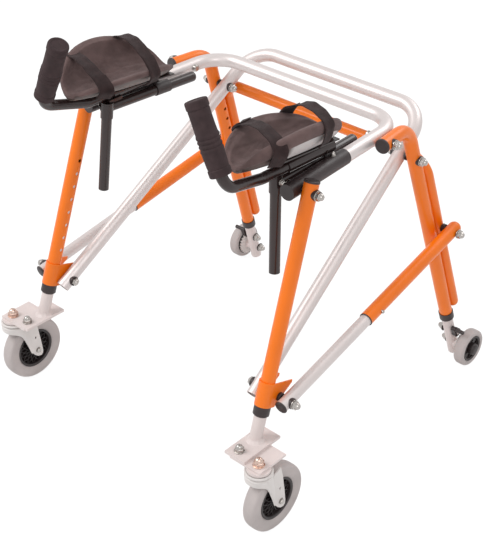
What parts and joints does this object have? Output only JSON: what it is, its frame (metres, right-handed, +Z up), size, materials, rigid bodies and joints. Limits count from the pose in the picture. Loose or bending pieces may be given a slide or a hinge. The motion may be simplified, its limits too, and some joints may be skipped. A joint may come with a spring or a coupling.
{
  "type": "folding reverse walker",
  "caption": "Folding reverse walker with swivel front wheels, fixed rear wheels, height-adjustable legs and padded forearm platforms with straps and upright grips.",
  "frame": {"origin": "on the floor, midway between the two sides and midway between the foremost and rearmost points of the wheels", "axes": "+Z up, +X towards the walker's right, -Y towards the open front where the user enters"},
  "size_m": [0.678, 0.7088, 0.7497],
  "materials": {
    "silver_tube": "satin anodised",
    "orange_paint": "semi-gloss powder coat",
    "black_plastic": "moulded",
    "zinc": "bright zinc plate",
    "grey_paint": "satin light grey",
    "black_paint": "satin black",
    "hub_plastic": "moulded",
    "grey_tyre": "non-marking grey rubber",
    "grip_foam": "ribbed foam",
    "trough_shell": "satin grey moulding",
    "lining": "padded knit",
    "strap_fabric": "hook-and-loop webbing"
  },
  "bodies": {
    "rail": {"hand_rail": "silver_tube", "arm_bracket_right": "black_plastic", "arm_bracket_left": "black_plastic", "rail_bolts": "zinc"},
    "rear_frame": {"rear_leg_right": "orange_paint", "rear_leg_left": "orange_paint", "cross_frame": "orange_paint", "rear_fittings": "black_plastic", "rear_frame_bolts": "zinc"},
    "diagonal": {"diagonal_tube": "silver_tube", "diagonal_bolts": "zinc", "diagonal_washers": "black_plastic"},
    "leg_right": {"front_leg_right": "orange_paint", "front_leg_fittings_right": "black_plastic"},
    "stem_right": {"front_stem_right": "grey_paint", "caster_plate_right": "grey_paint", "caster_bolts_right": "zinc"},
    "swivel_right": {"caster_fork_right": "grey_paint"},
    "wheel_right": {"caster_hub_right": "hub_plastic", "caster_tyre_right": "grey_tyre"},
    "brace_sleeve_right": {"brace_outer_right": "orange_paint"},
    "brace_strut_right": {"brace_inner_right": "silver_tube", "brace_end_right": "zinc"},
    "lock_button_right": {"brace_button_right": "zinc"},
    "extension_right": {"rear_stem_right": "grey_paint"},
    "pawl_right": {"rear_pawl_right": "black_plastic"},
    "small_wheel_right": {"rear_hub_right": "hub_plastic", "rear_tyre_right": "grey_tyre"},
    "support_right": {"support_tube_right": "black_paint"},
    "mast_right": {"post_right": "black_paint"},
    "platform_right": {"carrier_right": "black_paint", "trough_right": "trough_shell", "trough_pad_right": "lining", "straps_right": "strap_fabric"},
    "handgrip_right": {"handle_right": "black_paint", "grip_right": "grip_foam"},
    "leg_left": {"front_leg_left": "orange_paint", "front_leg_fittings_left": "black_plastic"},
    "stem_left": {"front_stem_left": "grey_paint", "caster_plate_left": "grey_paint", "caster_bolts_left": "zinc"},
    "swivel_left": {"caster_fork_left": "grey_paint"},
    "wheel_left": {"caster_hub_left": "hub_plastic", "caster_tyre_left": "grey_tyre"},
    "brace_sleeve_left": {"brace_outer_left": "orange_paint"},
    "brace_strut_left": {"brace_inner_left": "silver_tube", "brace_end_left": "zinc"},
    "lock_button_left": {"brace_button_left": "zinc"},
    "extension_left": {"rear_stem_left": "grey_paint"},
    "pawl_left": {"rear_pawl_left": "black_plastic"},
    "small_wheel_left": {"rear_hub_left": "hub_plastic", "rear_tyre_left": "grey_tyre"},
    "support_left": {"support_tube_left": "black_paint"},
    "mast_left": {"post_left": "black_paint"},
    "platform_left": {"carrier_left": "black_paint", "trough_left": "trough_shell", "trough_pad_left": "lining", "straps_left": "strap_fabric"},
    "handgrip_left": {"handle_left": "black_paint", "grip_left": "grip_foam"}
  },
  "joints": [
    {"name": "fold", "type": "hinge", "parent": "rail", "child": "rear_frame", "pos_m": [0, 0.0737, 0.569], "axis": [-1, 0, 0], "range_deg": [0, 50]},
    {"name": "diagonal_fold", "type": "hinge", "parent": "rear_frame", "child": "diagonal", "pos_m": [0, 0.1622, 0.5012], "axis": [1, 0, 0], "range_deg": [0, 34]},
    {"name": "leg_fold_right", "type": "hinge", "parent": "rail", "child": "leg_right", "pos_m": [0.2595, -0.1478, 0.569], "axis": [-1, 0, 0], "range_deg": [0, 27]},
    {"name": "brace_fold_right", "type": "hinge", "parent": "rear_frame", "child": "brace_sleeve_right", "pos_m": [0.283, 0.24329, 0.333], "axis": [1, 0, 0], "range_deg": [0, 35]},
    {"name": "brace_slide_right", "type": "slide", "parent": "brace_sleeve_right", "child": "brace_strut_right", "axis": [-0.0403, 0.9783, 0.2035], "range_m": [0, 0.11]},
    {"name": "brace_lock_right", "type": "slide", "parent": "brace_sleeve_right", "child": "lock_button_right", "axis": [0.9992, 0.0394, 0.0082], "range_m": [-0.004, 0], "stiffness_N_per_m": 600},
    {"name": "front_height_right", "type": "slide", "parent": "leg_right", "child": "stem_right", "axis": [0.0296, -0.3219, -0.9463], "range_m": [0, 0.1778]},
    {"name": "caster_turn_right", "type": "hinge", "parent": "stem_right", "child": "swivel_right", "pos_m": [0.3155, -0.3263, 0], "axis": [0, 0, 1], "continuous": true},
    {"name": "caster_roll_right", "type": "hinge", "parent": "swivel_right", "child": "wheel_right", "pos_m": [0.3155, -0.2909, 0.0635], "axis": [1, 0, 0], "continuous": true},
    {"name": "rear_height_right", "type": "slide", "parent": "rear_frame", "child": "extension_right", "axis": [0.0545, 0.3072, -0.9501], "range_m": [0, 0.127]},
    {"name": "pawl_flip_right", "type": "hinge", "parent": "extension_right", "child": "pawl_right", "pos_m": [0.26639, 0.3009, 0.0723], "axis": [1, 0, 0], "range_deg": [0, 60]},
    {"name": "rear_roll_right", "type": "hinge", "parent": "extension_right", "child": "small_wheel_right", "pos_m": [0.3048, 0.3164, 0.038], "axis": [1, 0, 0], "continuous": true},
    {"name": "platform_reach_right", "type": "slide", "parent": "rail", "child": "support_right", "axis": [-0.0587, 0.9981, -0.0207], "range_m": [-0.03, 0.03]},
    {"name": "platform_height_right", "type": "slide", "parent": "support_right", "child": "mast_right", "axis": [-0.0643, 0.0766, 0.995], "range_m": [0, 0.12]},
    {"name": "platform_turn_right", "type": "hinge", "parent": "mast_right", "child": "platform_right", "pos_m": [0.198, -0.1578, 0.569], "axis": [-0.0643, 0.0766, 0.995], "range_deg": [0, 15]},
    {"name": "grip_reach_right", "type": "slide", "parent": "platform_right", "child": "handgrip_right", "axis": [-0.018, -0.9997, 0.0174], "range_m": [0, 0.05]},
    {"name": "leg_fold_left", "type": "hinge", "parent": "rail", "child": "leg_left", "pos_m": [-0.2595, -0.1478, 0.569], "axis": [-1, 0, 0], "range_deg": [0, 27]},
    {"name": "brace_fold_left", "type": "hinge", "parent": "rear_frame", "child": "brace_sleeve_left", "pos_m": [-0.283, 0.24329, 0.333], "axis": [1, 0, 0], "range_deg": [0, 35]},
    {"name": "brace_slide_left", "type": "slide", "parent": "brace_sleeve_left", "child": "brace_strut_left", "axis": [0.0403, 0.9783, 0.2035], "range_m": [0, 0.11]},
    {"name": "brace_lock_left", "type": "slide", "parent": "brace_sleeve_left", "child": "lock_button_left", "axis": [-0.9992, 0.0394, 0.0082], "range_m": [-0.004, 0], "stiffness_N_per_m": 600},
    {"name": "front_height_left", "type": "slide", "parent": "leg_left", "child": "stem_left", "axis": [-0.0296, -0.3219, -0.9463], "range_m": [0, 0.1778]},
    {"name": "caster_turn_left", "type": "hinge", "parent": "stem_left", "child": "swivel_left", "pos_m": [-0.3155, -0.3263, 0], "axis": [0, 0, 1], "continuous": true},
    {"name": "caster_roll_left", "type": "hinge", "parent": "swivel_left", "child": "wheel_left", "pos_m": [-0.3155, -0.2909, 0.0635], "axis": [1, 0, 0], "continuous": true},
    {"name": "rear_height_left", "type": "slide", "parent": "rear_frame", "child": "extension_left", "axis": [-0.0545, 0.3072, -0.9501], "range_m": [0, 0.127]},
    {"name": "pawl_flip_left", "type": "hinge", "parent": "extension_left", "child": "pawl_left", "pos_m": [-0.26639, 0.3009, 0.0723], "axis": [1, 0, 0], "range_deg": [0, 60]},
    {"name": "rear_roll_left", "type": "hinge", "parent": "extension_left", "child": "small_wheel_left", "pos_m": [-0.3048, 0.3164, 0.038], "axis": [1, 0, 0], "continuous": true},
    {"name": "platform_reach_left", "type": "slide", "parent": "rail", "child": "support_left", "axis": [0.0587, 0.9981, -0.0207], "range_m": [-0.03, 0.03]},
    {"name": "platform_height_left", "type": "slide", "parent": "support_left", "child": "mast_left", "axis": [0.0643, 0.0766, 0.995], "range_m": [0, 0.12]},
    {"name": "platform_turn_left", "type": "hinge", "parent": "mast_left", "child": "platform_left", "pos_m": [-0.198, -0.1578, 0.569], "axis": [-0.0643, -0.0766, -0.995], "range_deg": [0, 15]},
    {"name": "grip_reach_left", "type": "slide", "parent": "platform_left", "child": "handgrip_left", "axis": [0.018, -0.9997, 0.0174], "range_m": [0, 0.05]}
  ],
  "couplings": [
    {"joint": "diagonal_fold", "follows": "fold", "ratio": 0.67748},
    {"joint": "leg_fold_right", "follows": "fold", "ratio": 0.53871},
    {"joint": "brace_fold_right", "follows": "fold", "ratio": 0.69334},
    {"joint": "brace_slide_right", "follows": "fold", "m_per_rad": 0.12459},
    {"joint": "leg_fold_left", "follows": "fold", "ratio": 0.53871},
    {"joint": "brace_fold_left", "follows": "fold", "ratio": 0.69334},
    {"joint": "brace_slide_left", "follows": "fold", "m_per_rad": 0.12459}
  ]
}
